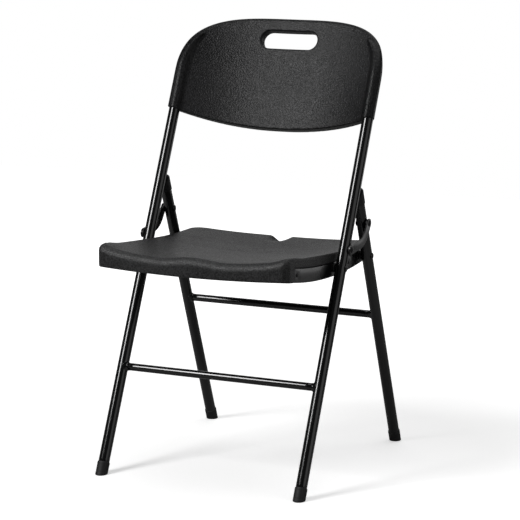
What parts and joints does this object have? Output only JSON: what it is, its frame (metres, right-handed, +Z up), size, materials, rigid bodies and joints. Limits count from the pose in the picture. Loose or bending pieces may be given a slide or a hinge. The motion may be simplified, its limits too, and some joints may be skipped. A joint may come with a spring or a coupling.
{
  "type": "folding chair",
  "caption": "Folding chair: steel tube frame, moulded seat and bowed moulded back with a hand hole; seat, rear legs and links fold flat against the uprights.",
  "frame": {"origin": "on the floor, at the middle of the footprint of the open chair", "axes": "+Z up, +Y to the rear of the chair, +X to the sitter's left"},
  "size_m": [0.4654, 0.5392, 0.8774],
  "materials": {
    "back_plastic": "fine grain, satin",
    "seat_plastic": "fine grain, satin",
    "cap_plastic": "matte",
    "washer_plastic": "matte",
    "tube_paint": "gloss black powder coat",
    "bracket_paint": "satin black powder coat",
    "fastener_steel": "black zinc, satin"
  },
  "bodies": {
    "front_frame": {"back_panel": "back_plastic", "front_crossbar": "tube_paint", "front_crossbar_welds": "tube_paint", "front_foot_cap_left": "cap_plastic", "front_foot_cap_right": "cap_plastic", "front_upright_left": "tube_paint", "front_upright_right": "tube_paint", "link_rivet_left": "fastener_steel", "link_rivet_right": "fastener_steel", "link_spacer_left": "washer_plastic", "link_spacer_right": "washer_plastic", "seat_pivot_rivet_left": "fastener_steel", "seat_pivot_rivet_right": "fastener_steel", "seat_pivot_washer_left": "washer_plastic", "seat_pivot_washer_right": "washer_plastic"},
    "seat": {"seat_panel": "seat_plastic", "seat_rail_left": "bracket_paint", "seat_rail_right": "bracket_paint", "seat_rail_screws": "fastener_steel"},
    "rear_frame": {"leg_pivot_rivet_left": "fastener_steel", "leg_pivot_rivet_right": "fastener_steel", "leg_pivot_washer_left": "washer_plastic", "leg_pivot_washer_right": "washer_plastic", "link_end_tail_left": "fastener_steel", "link_end_tail_right": "fastener_steel", "rear_crossbar": "tube_paint", "rear_crossbar_welds": "tube_paint", "rear_foot_cap_left": "cap_plastic", "rear_foot_cap_right": "cap_plastic", "rear_leg_left": "tube_paint", "rear_leg_right": "tube_paint", "rear_leg_top_cap_left": "cap_plastic", "rear_leg_top_cap_right": "cap_plastic"},
    "link_left": {"link_end_rivet_left": "fastener_steel", "link_end_spacer_left": "washer_plastic", "link_left": "bracket_paint"},
    "link_right": {"link_end_rivet_right": "fastener_steel", "link_end_spacer_right": "washer_plastic", "link_right": "bracket_paint"}
  },
  "joints": [
    {"name": "seat_fold", "type": "hinge", "parent": "front_frame", "child": "seat", "pos_m": [0, -0.04442, 0.4163], "axis": [-1, 0, 0], "range_deg": [0, 104.5]},
    {"name": "rear_leg_fold", "type": "hinge", "parent": "seat", "child": "rear_frame", "pos_m": [0, 0.08887, 0.4198], "axis": [1, 0, 0], "range_deg": [0, 57.89]},
    {"name": "link_left_swing", "type": "hinge", "parent": "front_frame", "child": "link_left", "pos_m": [0, -0.02817, 0.4513], "axis": [-1, 0, 0], "range_deg": [0, 122.14]},
    {"name": "link_right_swing", "type": "hinge", "parent": "front_frame", "child": "link_right", "pos_m": [0, -0.02817, 0.4513], "axis": [-1, 0, 0], "range_deg": [0, 122.14]}
  ],
  "couplings": [
    {"joint": "rear_leg_fold", "follows": "seat_fold", "ratio": 0.55396},
    {"joint": "link_left_swing", "follows": "seat_fold", "ratio": 1.1687},
    {"joint": "link_right_swing", "follows": "seat_fold", "ratio": 1.1687}
  ]
}
